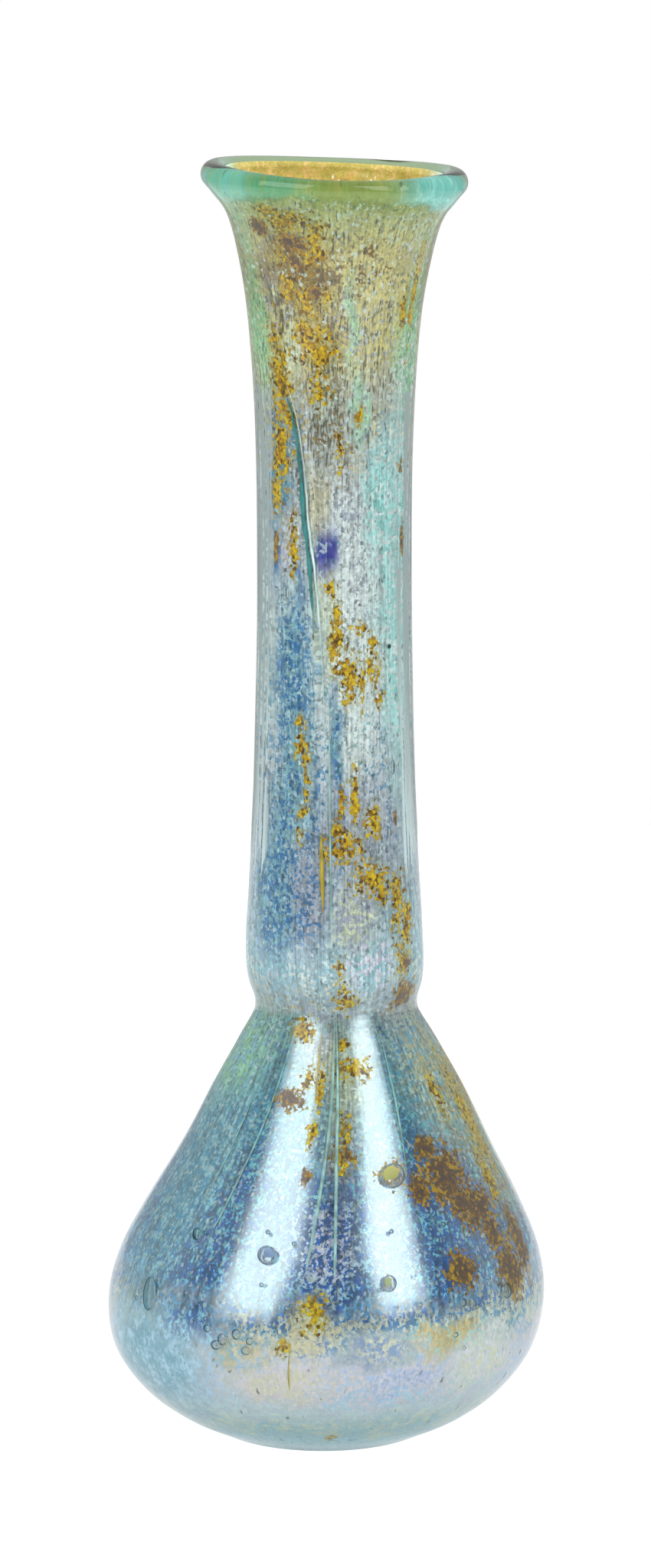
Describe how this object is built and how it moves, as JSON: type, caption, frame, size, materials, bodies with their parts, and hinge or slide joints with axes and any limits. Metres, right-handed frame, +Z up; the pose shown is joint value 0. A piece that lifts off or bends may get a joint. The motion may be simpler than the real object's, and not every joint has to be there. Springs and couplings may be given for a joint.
{
  "type": "roman glass unguentarium",
  "caption": "Free-blown glass perfume flask with a low bell-shaped body, pinched throat, tall neck and flared mouth with a folded lip.",
  "frame": {"origin": "centre of the footprint, on the surface that the flask stands on", "axes": "+Z up the neck; -Y is the front; the lip's higher side is at -X"},
  "size_m": [0.041, 0.041, 0.1198],
  "materials": {
    "glass": "sea-green blown glass, its inside coated with pearly weathering and brown and ochre crusts"
  },
  "bodies": {
    "root": {"flask": "glass"}
  },
  "joints": []
}
